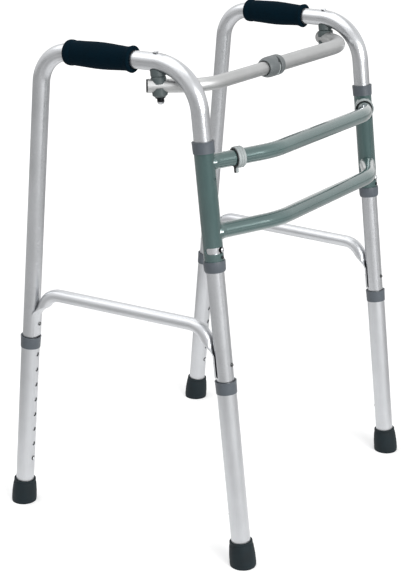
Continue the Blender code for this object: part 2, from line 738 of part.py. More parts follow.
def build_bar_half(word, side, bolt, line, diameter):
    """One half of the telescoping bar, with its end plug and the saddles that hold it."""
    tube = drawn_tube(line, UP, diameter, BAR_BEND_STEPS, THIN_TUBE_SIDES)
    name = "inner_bar_tube" if side == RIGHT else "outer_bar_tube"
    tube = piece(name, tube, ALUMINIUM, None)
    combine(tube, cutter(f"{word}_bar_bolt_hole", pin(BOLT_HOLE, -0.02, 0.02, HOLE_SIDES), bolt))
    clearance = rod(line, UP, diameter + 2 * GAP, BAR_BEND_STEPS, THIN_TUBE_SIDES)
    clearance = cutter(f"{word}_bar_clearance", clearance, None)
    saddle = (diameter + SADDLE_DIAMETER_OVER_BAR) / 2
    bore = BOLT_HOLE / 2
    top_face = SADDLE_JOINT - GAP / 2
    top_profile = [
        (saddle, SADDLE_SKIRT),
        (saddle, top_face - SADDLE_CHAMFER),
        (SADDLE_NECK, top_face),
        (bore, top_face),
        (bore, SADDLE_SKIRT),
    ]
    top = piece(f"{word}_bar_top_saddle", turned(top_profile, bored=True), DARK_PLASTIC, bolt)
    bottom_profile = [
        (bore, -LOWER_SADDLE_DEPTH),
        (saddle - 0.0030, -LOWER_SADDLE_DEPTH),
        (saddle, -LOWER_SADDLE_DEPTH + 0.0025),
        (saddle, -SADDLE_SKIRT),
        (bore, -SADDLE_SKIRT),
    ]
    bottom = piece(f"{word}_bar_bottom_saddle", turned(bottom_profile, bored=True), DARK_PLASTIC, bolt)
    combine(top, clearance)
    combine(bottom, clearance)
    bore_radius = diameter / 2 - WALL - GAP
    at = 0.0 if side == RIGHT else line.length
    point, direction = line.at(at)
    outward = -direction if side == RIGHT else direction
    plug = [(bore_radius, -0.0080), (bore_radius, GAP), (diameter / 2, GAP), (diameter / 2 - 0.0008, 0.0022)]
    aim = UP.rotation_difference(outward).to_matrix().to_4x4()
    piece(f"{word}_bar_end_plug", turned(plug), BLACK_PLASTIC, None, shift(*point) @ aim)


def build_pivot(word, side, hinge, frame):
    """The bolt through the handle and the bar, and the saddle that seats the handle on it."""
    bolt = empty(f"{word}_bolt_axis", None, bolt_placing(hinge))
    handle = (HANDLE_HEIGHT - BAR_HEIGHT) / math.cos(FRONT_LEAN)
    head_radius = 0.0046
    crest = handle + FRAME_TUBE / 2 / math.cos(FRONT_LEAN) + head_radius * math.tan(FRONT_LEAN) + GAP
    hole = cutter(f"{word}_handle_bolt_hole", pin(BOLT_HOLE, 0.014, 0.060, HOLE_SIDES), bolt)
    combine(frame, hole)
    radius, bore = (INNER_BAR_TUBE + SADDLE_DIAMETER_OVER_BAR) / 2, BOLT_HOLE / 2
    low, high = SADDLE_JOINT + GAP / 2, handle - 0.0085
    profile = [(radius, low), (radius, high), (bore, high), (bore, low)]
    saddle = piece(f"{word}_handle_saddle", turned(profile, bored=True), DARK_PLASTIC, bolt)
    clearance = rod(side_frame_line(), ACROSS, FRAME_TUBE + 2 * GAP, FRAME_BEND_STEPS)
    combine(saddle, cutter(f"{word}_handle_clearance", clearance, hinge, UPRIGHT))
    nut_top = -LOWER_SADDLE_DEPTH - GAP
    shank_low = nut_top - 0.0060 if side == RIGHT else SADDLE_JOINT + 0.0008
    head = [
        (BOLT_DIAMETER / 2, shank_low),
        (BOLT_DIAMETER / 2, crest),
        (head_radius, crest),
        (head_radius - 0.0004, crest + 0.0006),
        (head_radius * 0.5, crest + 0.0010),
    ]
    piece(f"{word}_pivot_bolt", turned(head, sides=12), STEEL, bolt)
    build_pivot_nut(word, side, bolt, nut_top)
    return bolt


def build_pivot_nut(word, side, bolt, top):
    """A washer and a domed nut. The left one carries its own stub of bolt, up into the bar."""
    outside = [
        (0.0020, top - 0.0100),
        (0.0042, top - 0.0086),
        (0.0050, top - 0.0064),
        (0.0050, top - 0.0012),
        (0.0070, top - 0.0012),
        (0.0070, top),
    ]
    if side == RIGHT:
        bore = BOLT_DIAMETER / 2 + GAP
        outside += [(bore, top), (bore, top - 0.0064)]
    else:
        stub = BOLT_DIAMETER / 2
        outside += [(stub, top), (stub, SADDLE_JOINT - 0.0008)]
    piece(f"{word}_pivot_nut", turned(outside, sides=12), STEEL, bolt)


def build_top_bar(right_bolt, left_bolt):
    """The inner bar, the outer bar that slides over it, and the twist lock between them."""
    right_pivot = world(right_bolt).translation
    left_pivot = world(left_bolt).translation
    inner = bar_line(Vector((-right_pivot.x, right_pivot.y, BAR_HEIGHT)), None, INNER_BAR_END)
    build_bar_half("right", RIGHT, right_bolt, inner, INNER_BAR_TUBE)
    outer = bar_line(left_pivot, OUTER_BAR_END, None)
    build_bar_half("left", LEFT, left_bolt, outer, OUTER_BAR_TUBE)
    middle = shift(0, FRONT_AXIS_Y + BAR_MIDDLE_REARWARD, BAR_HEIGHT) @ turn(math.pi / 2, "Y")
    axis = empty("top_bar_axis", None, middle)
    radius = INNER_BAR_TUBE / 2 - WALL - GAP
    slider = [
        (radius - 0.0008, SLIDER_START),
        (radius, SLIDER_START + 0.0010),
        (radius, SLIDER_START + SLIDER_LENGTH - 0.0010),
        (radius - 0.0008, SLIDER_START + SLIDER_LENGTH),
    ]
    piece("bar_slider", turned(slider), BLACK_PLASTIC, axis)
    build_twist_lock(axis)


def build_twist_lock(axis):
    """A ring fixed on the outer bar's end, with a collet that the turning nut closes."""
    full = LOCK_DIAMETER / 2
    on_tube = OUTER_BAR_TUBE / 2 + GAP
    on_inner = INNER_BAR_TUBE / 2 + GAP
    collet = LOCK_NUT_BORE / 2 - GAP
    ring = [
        (on_tube, 0),
        (full - 0.0022, 0),
        (full, -0.0024),
        (full, LOCK_RING_FACE + 0.0006),
        (full - 0.0006, LOCK_RING_FACE),
        (collet, LOCK_RING_FACE),
        (collet, COLLET_END),
        (on_inner, COLLET_END),
        (on_inner, OUTER_BAR_END - GAP),
        (on_tube, OUTER_BAR_END - GAP),
    ]
    piece("lock_ring", turned(ring, bored=True), GREY_PLASTIC, axis)
    bore = LOCK_NUT_BORE / 2
    nut = [
        (bore, LOCK_NUT_FACE),
        (full - 0.0006, LOCK_NUT_FACE),
        (full, LOCK_NUT_FACE - 0.0008),
        (full - 0.0003, LOCK_NUT_FACE - 0.0120),
        (full - 0.0009, LOCK_NUT_FACE - 0.0230),
        (full - 0.0017, LOCK_NUT_NOSE + 0.0045),
        (full - 0.0025, LOCK_NUT_NOSE + 0.0005),
        (full - 0.0029, LOCK_NUT_NOSE),
        (bore, LOCK_NUT_NOSE),
    ]
    nut = piece("lock_nut", turned(nut, bored=True), GREY_PLASTIC, axis)
    notch = box(0.0060, 0.0060, 0.0045, (0.0, full, LOCK_NUT_FACE))
    combine(nut, cutter("lock_nut_notch", notch, axis, turn(math.radians(35), "Z")))


def main():
    for thing in list(bpy.data.objects):
        bpy.data.objects.remove(thing)
    root = build_front_frame()
    bolts = {}
    for word, side in SIDES.items():
        hinge, frame = build_side_frame(word, side, root)
        bolts[word] = build_pivot(word, side, hinge, frame)
    build_top_bar(bolts["right"], bolts["left"])


main()
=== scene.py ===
"""A folding walking frame in a white studio: its finishes, foam grips, floor, lamps and camera.

Metres, +Z up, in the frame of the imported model: the front is at -Y and the user's right at -X.
"""

import json
import math

import bmesh
import bpy
import numpy as np
from mathutils import Matrix, Vector, noise

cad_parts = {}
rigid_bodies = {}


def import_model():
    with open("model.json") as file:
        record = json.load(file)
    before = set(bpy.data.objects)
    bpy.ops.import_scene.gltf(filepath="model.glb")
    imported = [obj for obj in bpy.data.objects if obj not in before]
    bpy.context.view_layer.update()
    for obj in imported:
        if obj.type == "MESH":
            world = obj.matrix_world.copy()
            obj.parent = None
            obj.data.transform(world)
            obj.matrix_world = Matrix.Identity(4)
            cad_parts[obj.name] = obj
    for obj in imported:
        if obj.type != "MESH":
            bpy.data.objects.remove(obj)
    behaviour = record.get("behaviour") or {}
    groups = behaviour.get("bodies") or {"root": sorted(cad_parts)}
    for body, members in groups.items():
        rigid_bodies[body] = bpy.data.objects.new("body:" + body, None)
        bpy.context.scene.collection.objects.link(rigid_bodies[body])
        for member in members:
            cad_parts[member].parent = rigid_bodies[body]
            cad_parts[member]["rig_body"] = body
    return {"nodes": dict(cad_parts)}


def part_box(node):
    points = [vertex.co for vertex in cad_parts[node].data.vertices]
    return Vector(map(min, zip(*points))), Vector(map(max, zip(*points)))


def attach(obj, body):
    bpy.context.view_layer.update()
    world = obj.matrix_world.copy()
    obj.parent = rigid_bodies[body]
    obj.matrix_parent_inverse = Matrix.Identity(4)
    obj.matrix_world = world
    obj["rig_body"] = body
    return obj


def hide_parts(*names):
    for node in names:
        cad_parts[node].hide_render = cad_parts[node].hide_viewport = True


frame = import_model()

bl_info = {
    "name": "Folding walking frame",
    "version": (1, 0, 0),
    "blender": (4, 5, 0),
    "location": "3D View > Sidebar > Walker",
    "description": "Dresses the packed walking frame and sets a white studio round it",
    "category": "Object",
}

SIDES = {"right": -1, "left": 1}
ENDS = ("front", "rear")
LEGS = [f"{side}_{end}" for side in SIDES for end in ENDS]
SADDLES = ("handle_saddle", "bar_top_saddle", "bar_bottom_saddle")

# The stance: the front legs' lines, on which the side frames hinge, the handles and the bars
HALF_TRACK = 0.2333
FRONT_AXIS_Y = -0.1274
SLEEVE_TOP_HEIGHT = 0.6205
HANDLE_HEIGHT = 0.7205
FRONT_LEAN = math.radians(6.6)
REAR_LEAN = math.radians(5.07)
REAR_FOOT_REARWARD = 0.3268
TOE_OUT = math.radians(2.2)
UPPER_CROSSBAR_DEPTH = 0.0301
LOWER_CROSSBAR_DEPTH = 0.1268
BAR_HEIGHT = 0.6885
BAR_MIDDLE_Y = -0.1109
PIVOT = (0.23562, -0.05867, 0.68851)
BOLT_DIRECTION = (0, 0.11494, 0.99337)

# The tubes, all with the same wall, and the gap of a sliding fit; the sleeves are leg tube too
FRAME_TUBE_RADIUS = 0.0125
LEG_TUBE_RADIUS = 0.0140
BRACE_RADIUS = 0.0095
CROSSBAR_RADIUS = 0.0111
OUTER_BAR_RADIUS = 0.0111
INNER_BAR_RADIUS = 0.009525
TUBE_WALL = 0.0012
FIT_GAP = 0.0003

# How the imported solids' facets are read, and how fine their copies are
MERGE_DISTANCE = 0.000002
FLAT_ANGLE = math.radians(0.4)
FACET_DEPTH = 0.00036
FACET_RISE = 0.00004
LEAST_CURVE = 0.00003
SHARP_ANGLE = math.radians(32)
BEND_POINTS = 61
MEASURES = ("along", "across", "outward", "radius", "round")

# The camera: its sensor in millimetres, its optical centre's shift in pixels, and its stand
SENSOR = 36.0
PHOTO_LONG_SIDE = 574
CENTRE_SHIFT = (3.8, 0.7)
CAMERA_PLACE = (-1.8349, -1.1648, 1.0713)
CAMERA_TURN = math.radians(-56.87)
CAMERA_TILT = math.radians(70.95)
CAMERA_ROLL = math.radians(0.07)

WHITE = (1.0, 1.0, 1.0)


class Value:
    """A node's output. Arithmetic on it adds Math nodes, so that a finish reads as sums."""

    def __init__(self, finish, socket):
        self.finish = finish
        self.socket = socket

    def math(self, operation, *values):
        return self.finish.node("ShaderNodeMath", dict(enumerate(values)), operation=operation)

    def __add__(self, other):
        return self.math("ADD", self, other)

    def __radd__(self, other):
        return self.math("ADD", other, self)

    def __sub__(self, other):
        return self.math("SUBTRACT", self, other)

    def __rsub__(self, other):
        return self.math("SUBTRACT", other, self)

    def __mul__(self, other):
        return self.math("MULTIPLY", self, other)

    def __rmul__(self, other):
        return self.math("MULTIPLY", other, self)


class Nodes:
    """The node tree of a material or of the world."""

    def __init__(self, tree):
        self.tree = tree

    def node(self, kind, sockets=None, output=0, **settings):
        """Adds a node, makes its settings, then fills its sockets with values or links."""
        made = self.tree.nodes.new(kind)
        for name, value in settings.items():
            setattr(made, name, value)
        for name, value in (sockets or {}).items():
            self.join(value, made.inputs[name])
        return Value(self, made.outputs[output])

    def join(self, value, socket):
        if isinstance(value, Value):
            self.tree.links.new(value.socket, socket)
        else:
            socket.default_value = value

    def noise(self, scale, detail, stretch=None, roughness=0.5):
        """Cloudy variation from 0 to 1 in the object's own space; stretch turns and scales it."""
        where = self.node("ShaderNodeTexCoord", output="Object")
        if stretch is not None:
            where = self.node("ShaderNodeMapping", {"Vector": where, **stretch})
        sockets = {"Vector": where, "Scale": scale, "Detail": detail, "Roughness": roughness}
        return self.node("ShaderNodeTexNoise", sockets)

    def coordinate(self, axis):
        """Where a spot is along X, Y or Z in the object's own space, in metres."""
        spot = self.node("ShaderNodeTexCoord", output="Object")
        return self.node("ShaderNodeSeparateXYZ", {"Vector": spot}, output=axis)

    def above(self, value, edge, blur):
        """0 below an edge and 1 above it, blurred over a width."""
        sockets = {0: value, 1: edge - blur, 2: edge + blur}
        return self.node("ShaderNodeMapRange", sockets, interpolation_type="SMOOTHSTEP")

    def ramp(self, value, *stops):
        """Levels that run from stop to stop, given as pairs of position and level."""
        levels = self.node("ShaderNodeValToRGB", {"Fac": value})
        elements = levels.socket.node.color_ramp.elements
        while len(elements) < len(stops):
            elements.new(1.0)
        for element, (position, level) in zip(elements, stops):
            element.position = position
            element.color = (level, level, level, 1.0)
        return levels

    def blend(self, share, first, second):
        """A colour that goes from first to second as share goes from 0 to 1."""
        sockets = {0: share, 6: first, 7: second}
        return self.node("ShaderNodeMix", sockets, output=2, data_type="RGBA")

    def rays(self):
        """Two switches: 1 for camera rays, and 1 for camera, glossy and transmitted rays."""
        camera = self.node("ShaderNodeLightPath", output="Is Camera Ray")
        outputs = camera.socket.node.outputs
        glossy = Value(self, outputs["Is Glossy Ray"])
        clear = Value(self, outputs["Is Transmission Ray"])
        return camera, camera.math("MAXIMUM", camera.math("MAXIMUM", camera, glossy), clear)


class Finish(Nodes):
    """A material for one kind of surface."""

    def __init__(self, name, **constants):
        self.material = bpy.data.materials.new(name)
        self.material.use_nodes = True
        super().__init__(self.material.node_tree)
        self.shader = self.tree.nodes["Principled BSDF"]
        for socket, value in constants.items():
            self.shader.inputs[socket.replace("_", " ")].default_value = value

    def colour(self, value):
        self.join(value, self.shader.inputs["Base Color"])

    def tones(self, share, colour, low, high):
        """Goes from one brightness of a colour to another as share goes from 0 to 1."""
        self.colour(self.blend(share, shade(colour, low), shade(colour, high)))

    def cover(self, share, colour, brightness=1.0):
        """Lays a colour over the present one where share is 1."""
        present = Value(self, self.shader.inputs["Base Color"].links[0].from_socket)
        self.colour(self.blend(share, present, shade(colour, brightness)))

    def roughness(self, value):
        self.join(value, self.shader.inputs["Roughness"])

    def relief(self, height, distance):
        """Raises the surface by height times distance, in metres."""
        bump = self.node("ShaderNodeBump", {"Height": height, "Distance": distance})
        self.join(bump, self.shader.inputs["Normal"])


def shade(colour, share):
    """A colour made darker or lighter by a share."""
    return tuple(part * share for part in colour[:3]) + (1.0,)


class Line:
    """A tube's centreline: straight runs joined by round bends, all in one plane."""

    def __init__(self, corners, radii, normal):
        """corners are where the straight runs would meet; each inner one has a bend radius."""
        self.normal = np.array(normal, float)
        corners = [np.array(corner, float) for corner in corners]
        first = corners[1] - corners[0]
        points, headings = [corners[0]], [first / np.linalg.norm(first)]
        for before, corner, after, radius in zip(corners, corners[1:], corners[2:], radii):
            incoming = (corner - before) / np.linalg.norm(corner - before)
            outgoing = (after - corner) / np.linalg.norm(after - corner)
            swing = math.acos(float(incoming @ outgoing))
            inward = (outgoing - incoming * math.cos(swing)) / math.sin(swing)
            start = corner - incoming * radius * math.tan(swing / 2)
            for turned in np.linspace(0.0, swing, BEND_POINTS):
                ahead = start + incoming * radius * math.sin(turned)
                points.append(ahead + inward * radius * (1 - math.cos(turned)))
                headings.append(incoming * math.cos(turned) + inward * math.sin(turned))
        points.append(corners[-1])
        last = points[-1] - points[-2]
        headings.append(last / np.linalg.norm(last))
        self.points, self.headings = np.array(points), np.array(headings)
        steps = np.linalg.norm(np.diff(self.points, axis=0), axis=1)
        self.along = np.concatenate([[0.0], np.cumsum(steps)])

    def unroll(self, spots):
        """For each spot: how far along the line, across its plane, and outward in its plane."""
        runs = np.diff(self.points, axis=0)
        lengths = np.linalg.norm(runs, axis=1)
        ahead = spots[:, None, :] - self.points[None, :-1, :]
        shares = np.einsum("ijk,jk->ij", ahead, runs) / lengths**2
        inside = np.clip(shares, 0.0, 1.0)
        gaps = np.linalg.norm(ahead - inside[:, :, None] * runs[None], axis=2)
        nearest = np.argmin(gaps, axis=1)
        share = shares[np.arange(len(spots)), nearest]
        # Only beyond the line's own ends does a spot lie off the end of its run.
        lowest = np.where(nearest == 0, -np.inf, 0.0)
        highest = np.where(nearest == len(runs) - 1, np.inf, 1.0)
        share = np.clip(share, lowest, highest)
        along = self.along[nearest] + share * lengths[nearest]
        centre, outward = self.at(along)
        offset = spots - centre
        return along, offset @ self.normal, np.einsum("ij,ij->i", offset, outward)

    def at(self, along):
        """The point on the line and the outward direction, for distances along it."""
        inner = np.clip(along, self.along[0], self.along[-1])
        centre, heading = (
            np.stack([np.interp(inner, self.along, column) for column in table.T], axis=1)
            for table in (self.points, self.headings)
        )
        heading /= np.linalg.norm(heading, axis=1)[:, None]
        return centre + heading * (along - inner)[:, None], np.cross(heading, self.normal)


def straight(point, direction):
    """The axis of a straight or turned piece, as a line from a metre below to a metre above."""
    point, direction = Vector(point), Vector(direction).normalized()
    return Line([point - direction, point + direction], [], direction.orthogonal().normalized())


def front_frame_place():
    """From the front frame's own axes, Z up the front legs from the sleeves' tops, to the world."""
    top = Matrix.Translation((0, FRONT_AXIS_Y, SLEEVE_TOP_HEIGHT))
    return top @ Matrix.Rotation(-FRONT_LEAN, 4, "X")


def side_frame_place(side):
    """From a side frame's plane, Y rearward from the sleeve's top and Z up, to the world."""
    hinge = front_frame_place() @ Matrix.Translation((side * HALF_TRACK, 0, 0))
    upright = Matrix.Rotation(FRONT_LEAN, 4, "X") @ Matrix.Translation((0, 0, -SLEEVE_TOP_HEIGHT))
    return hinge @ Matrix.Rotation(-side * TOE_OUT, 4, "Z") @ upright


def leg_spot(front, height, out=0.0):
    """A spot beside a leg's axis in the side frame's plane, out from it towards the other leg."""
    if front:
        along = (height - SLEEVE_TOP_HEIGHT) * math.tan(FRONT_LEAN)
        return Vector((0, along + out * math.cos(FRONT_LEAN), height - out * math.sin(FRONT_LEAN)))
    along = REAR_FOOT_REARWARD - height * math.tan(REAR_LEAN)
    return Vector((0, along - out * math.cos(REAR_LEAN), height - out * math.sin(REAR_LEAN)))


def bent(place, corners, radii, normal):
    """A line given in a frame of its own, as a line in the world."""
    return Line([place @ corner for corner in corners], radii, place.to_3x3() @ Vector(normal))


def side_frame_line(side):
    """A side frame's line, up the front leg, along the handle and down the rear leg."""
    low, front_bend, rear_bend = 0.0500, 0.0700, 0.0508
    corners = [
        leg_spot(True, low),
        leg_spot(True, HANDLE_HEIGHT),
        leg_spot(False, HANDLE_HEIGHT),
        leg_spot(False, low),
    ]
    return bent(side_frame_place(side), corners, [front_bend, rear_bend], (1, 0, 0))


def brace_line(side):
    """A brace's line, up from its front end, across, and down to its rear end."""
    foot, run, bend = 0.2872, 0.3558, 0.0300
    out = FRAME_TUBE_RADIUS + FIT_GAP + BRACE_RADIUS
    front, rear = leg_spot(True, foot, out), leg_spot(False, foot, out)
    high_front = Vector((0, front.y + (run - front.z) * math.tan(FRONT_LEAN), run))
    high_rear = Vector((0, rear.y - (run - rear.z) * math.tan(REAR_LEAN), run))
    corners = [front, high_front, high_rear, rear]
    return bent(side_frame_place(side), corners, [bend, bend], (1, 0, 0))


def crossbar_line(depth):
    """A crossbar's line, this far down the sleeves and bowed forward between its two bends."""
    forward, splay, bend = 0.0520, math.radians(29.0), 0.0907
    run = forward / math.tan(splay)
    corners = [
        Vector((-HALF_TRACK, 0, -depth)),
        Vector((-HALF_TRACK + run, -forward, -depth)),
        Vector((HALF_TRACK - run, -forward, -depth)),
        Vector((HALF_TRACK, 0, -depth)),
    ]
    return bent(front_frame_place(), corners, [bend, bend], (0, 0, 1))


def top_bar_line():
    """The telescoping bar's line, from the right end through both bends to the left end."""
    end_angle, tail, bend = math.radians(54.0), 0.0155, 0.0727
    pivot = Vector((PIVOT[0], PIVOT[1], BAR_HEIGHT))
    inboard = (pivot.y - BAR_MIDDLE_Y) / math.tan(end_angle)
    corner = Vector((pivot.x - inboard, BAR_MIDDLE_Y, BAR_HEIGHT))
    end = pivot + Vector((math.cos(end_angle), math.sin(end_angle), 0)) * tail
    mirror = Vector((-1, 1, 1))
    return Line([end * mirror, corner * mirror, corner, end], [bend, bend], (0, 0, 1))


def node_lines():
    """Each round node's line and its tube's radius, which is None for a turned piece."""
    bar = top_bar_line()
    lines = {
        "upper_crossbar": (crossbar_line(UPPER_CROSSBAR_DEPTH), CROSSBAR_RADIUS),
        "lower_crossbar": (crossbar_line(LOWER_CROSSBAR_DEPTH), CROSSBAR_RADIUS),
        "inner_bar_tube": (bar, INNER_BAR_RADIUS),
        "outer_bar_tube": (bar, OUTER_BAR_RADIUS),
    }
    for word, side in SIDES.items():
        lines[f"{word}_frame_tube"] = (side_frame_line(side), FRAME_TUBE_RADIUS)
        lines[f"{word}_brace"] = (brace_line(side), BRACE_RADIUS)
        lines[f"{word}_bar_end_plug"] = (bar, None)
        place = side_frame_place(side)
        for end in ENDS:
            foot, high = (place @ leg_spot(end == "front", height) for height in (0.0, 0.5))
            axis = straight(foot, high - foot)
            lines[f"{word}_{end}_lower_tube"] = (axis, LEG_TUBE_RADIUS)
            for piece in ("collar", "tip"):
                lines[f"{word}_{end}_{piece}"] = (axis, None)
        hinge = lines[f"{word}_front_lower_tube"][0]
        lines[f"{word}_sleeve"] = (hinge, LEG_TUBE_RADIUS)
        for piece in ("sleeve_top_cap", "sleeve_bottom_cap"):
            lines[f"{word}_{piece}"] = (hinge, None)
        bolt = straight((side * PIVOT[0], PIVOT[1], PIVOT[2]), BOLT_DIRECTION)
        for piece in SADDLES + ("pivot_bolt", "pivot_nut"):
            lines[f"{word}_{piece}"] = (bolt, None)
    return lines


LINES = node_lines()


def true_radii(across, outward, tube):
    """Each vertex's true distance from the line, and whether it lies on a round surface."""
    radii = np.hypot(across, outward)
    if tube is None:
        return radii, np.ones(len(radii))
    on_round = np.zeros(len(radii))
    for radius in (tube, tube - TUBE_WALL):
        near = (radii > radius - FACET_DEPTH) & (radii < radius + FACET_RISE)
        radii = np.where(near, radius, radii)
        on_round[near] = 1.0
    return radii, on_round


def rounded(name, line, tube):
    """A copy of a CAD node drawn with finer steps, its new points set on the true round surface."""
    made = bmesh.new()
    made.from_mesh(frame["nodes"][name].data)
    bmesh.ops.remove_doubles(made, verts=made.verts, dist=MERGE_DISTANCE)
    bmesh.ops.dissolve_limit(made, angle_limit=FLAT_ANGLE, verts=made.verts, edges=made.edges)
    measures = [made.verts.layers.float.new(key) for key in MEASURES]
    spots = np.array([vert.co for vert in made.verts])
    along, across, outward = line.unroll(spots)
    radii, on_round = true_radii(across, outward, tube)
    for vert, values in zip(made.verts, zip(along, across, outward, radii, on_round)):
        for layer, value in zip(measures, values):
            vert[layer] = value
    bends = [edge for edge in made.edges if curve_depth(edge, line, measures) > LEAST_CURVE]
    bmesh.ops.subdivide_edges(made, edges=bends, cuts=2, use_grid_fill=True)
    table = np.array([[vert[layer] for layer in measures] for vert in made.verts])
    for vert, spot in zip(made.verts, rolled(line, *table.T)):
        vert.co = spot
    return made


def rolled(line, along, across, outward, radii, on_round):
    """The spots that these measures along, across and outward from a line stand for."""
    centre, out = line.at(along)
    drawn = np.maximum(np.hypot(across, outward), 1e-9)
    scale = 1.0 + (radii / drawn - 1.0) * on_round
    return centre + line.normal * (across * scale)[:, None] + out * (outward * scale)[:, None]


def curve_depth(edge, line, measures):
    """How far the middle of an edge lies from the round surface that it stands for."""
    middle = np.array([[sum(vert[layer] for vert in edge.verts) / 2] for layer in measures])
    spot = rolled(line, *middle)[0]
    return float(np.linalg.norm(spot - np.array((edge.verts[0].co + edge.verts[1].co) / 2)))


def dress(finish, *names):
    """Gives nodes this finish, the round ones on finer copies that ride and stand in for them."""
    for name in names:
        if name in LINES:
            show(f"{name}_round", rounded(name, *LINES[name]), finish, name)
        else:
            materials = frame["nodes"][name].data.materials
            materials.clear()
            materials.append(finish.material)


def show(piece_name, made, finish, name, place=None):
    """Shows a shape in a CAD node's stead, on the same body and with this finish."""
    piece = bpy.data.objects.new(piece_name, finished_mesh(piece_name, made))
    piece.data.materials.append(finish.material)
    if place is not None:
        piece.matrix_world = place
    bpy.context.scene.collection.objects.link(piece)
    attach(piece, frame["nodes"][name]["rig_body"])
    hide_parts(name)
    return piece


def revolve(outline, sides, place, reshape=None, capped=False):
    """A body of revolution about local Z from pairs of distance and radius.

    A closed outline gives a bored body; a capped one ends in two flat faces. reshape may move
    each point, given its distance, radius and angle.
    """
    made = bmesh.new()
    loops = []
    for along, radius in outline:
        loop = []
        for i in range(sides):
            angle = 2 * math.pi * i / sides
            spot = reshape(along, radius, angle) if reshape else (along, radius)
            across = (spot[1] * math.cos(angle), spot[1] * math.sin(angle))
            loop.append(made.verts.new(place @ Vector((*across, spot[0]))))
        loops.append(loop)
    if capped:
        made.faces.new(loops[0])
        made.faces.new(loops[-1])
        following = loops[1:]
    else:
        following = loops[1:] + loops[:1]
    for first, second in zip(loops, following):
        for i in range(sides):
            j = (i + 1) % sides
            made.faces.new((first[i], first[j], second[j], second[i]))
    return made


def block(made, size, centre, place, edge):
    """Adds a block with softened edges to a mesh."""
    corners = bmesh.ops.create_cube(made, size=1.0)["verts"]
    bmesh.ops.scale(made, vec=size, verts=corners)
    bmesh.ops.translate(made, vec=centre, verts=corners)
    bmesh.ops.transform(made, matrix=place, verts=corners)
    edges = list({found for vert in corners for found in vert.link_edges})
    bmesh.ops.bevel(made, geom=edges, offset=edge, segments=2, affect="EDGES")


def finished_mesh(name, made):
    """A mesh of this shape, smooth except over its sharp edges."""
    bmesh.ops.recalc_face_normals(made, faces=made.faces)
    data = bpy.data.meshes.new(name)
    made.to_mesh(data)
    made.free()
    data.shade_smooth()
    data.set_sharp_from_angle(angle=SHARP_ANGLE)
    return data


def paint_colour(name, default, description):
    return bpy.props.FloatVectorProperty(
        name=name, description=description, default=default, min=0.0, max=1.0, subtype="COLOR"
    )


def number(name, default, description, least=0.0, **kind):
    return bpy.props.FloatProperty(
        name=name, description=description, default=default, min=least, **kind
    )


def length(name, default, description):
    return number(name, default, description, unit="LENGTH", subtype="DISTANCE")


def amount(name, default, description, top=1.0):
    return number(name, default, description, max=top, subtype="FACTOR")


class WalkerFinishes(bpy.types.PropertyGroup):
    """Colours and gloss of the walker's surfaces."""

    aluminium: paint_colour("Aluminium", (0.50, 0.51, 0.525), "Satin anodised tubes")
    frame_roughness: amount("Side frames' roughness", 0.27, "How soft their reflections are")
    leg_roughness: amount("Legs' roughness", 0.38, "How soft the lower legs' reflections are")
    brace_roughness: amount("Braces' roughness", 0.34, "How soft the braces' reflections are")
    bar: paint_colour("Top bar", (0.45, 0.455, 0.455), "Matt telescoping bar")
    bar_roughness: amount("Top bar's roughness", 0.46, "How soft the top bar's reflections are")
    paint: paint_colour("Paint", (0.046, 0.092, 0.090), "Green-grey paint of the sleeves")
    bar_paint: paint_colour("Crossbar paint", (0.039, 0.087, 0.084), "Glossier, on the crossbars")
    paint_roughness: amount("Paint roughness", 0.21, "How soft the paint's reflections are")
    slate: paint_colour("Bushes", (0.073, 0.086, 0.101), "Moulded bushes and collars")
    saddle: paint_colour("Saddles", (0.060, 0.078, 0.080), "Moulded saddles of the top bar")
    clip: paint_colour("Clips", (0.30, 0.33, 0.33), "Moulded rings on the upper crossbar")
    lock: paint_colour("Twist lock", (0.105, 0.118, 0.122), "Moulded ring and nut of the top bar")
    black: paint_colour("Black plastic", (0.010, 0.011, 0.012), "Plugs and liners")
    foam: paint_colour("Foam", (0.0002, 0.0062, 0.0118), "Hand grips")
    rubber: paint_colour("Rubber", (0.0045, 0.0100, 0.0130), "Feet")
    steel: paint_colour("Steel", (0.52, 0.53, 0.54), "Rivets and buttons")


class WalkerGrip(bpy.types.PropertyGroup):
    """Sizes of the foam grips."""

    front: length("Front end", 0.1092, "How far behind the front leg's line the grip starts")
    long: length("Length", 0.1100, "Length along the handle")
    lip: length("Front lip", 0.0186, "Radius of the flared front end")
    waist: length("Waist", 0.0166, "Radius behind the front lip")
    palm: length("Palm", 0.0186, "Radius at the palm swell")
    ring: length("Rear ring", 0.0180, "Radius of the rear ring")


class WalkerStudio(bpy.types.PropertyGroup):
    """Floor, lamps and camera of the studio."""

    floor_radius: length("Floor radius", 14.0, "Radius of the round white floor")
    floor_colour: paint_colour("Floor", (0.80, 0.80, 0.80), "Colour of the floor")
    floor_glow: amount("Floor glow", 0.30, "How much whiter the floor is under the walker")
    open_glow: amount("Open floor glow", 0.56, "How much whiter it is a metre from the middle")
    sweep_glow: amount("Sweep glow", 0.72, "How much whiter it is four metres off and beyond")
    mirrored_glow: amount("Mirrored glow", 0.29, "How much whiter it is in reflections")
    surround: amount("Surround", 0.42, "Level of the even light from all round", top=2.0)
    dark_side: bpy.props.FloatVectorProperty(
        name="Dark side",
        description="Where the darker part of the room lies",
        subtype="DIRECTION",
        default=(-0.98, -0.05, 0.05),
    )
    dark_level: amount("Dark side level", 0.85, "Its level in reflections")
    high_wall: amount("High wall", 1.20, "Level of the upper wall in reflections", top=3.0)
    front_lamp: number("Front lamp", 98.0, "Power in watts of the soft box in front")
    top_lamp: number("Top lamp", 70.0, "Power in watts of the soft box above")
    focal_length: number("Focal length", 91.15, "Focal length in millimetres", least=1.0)


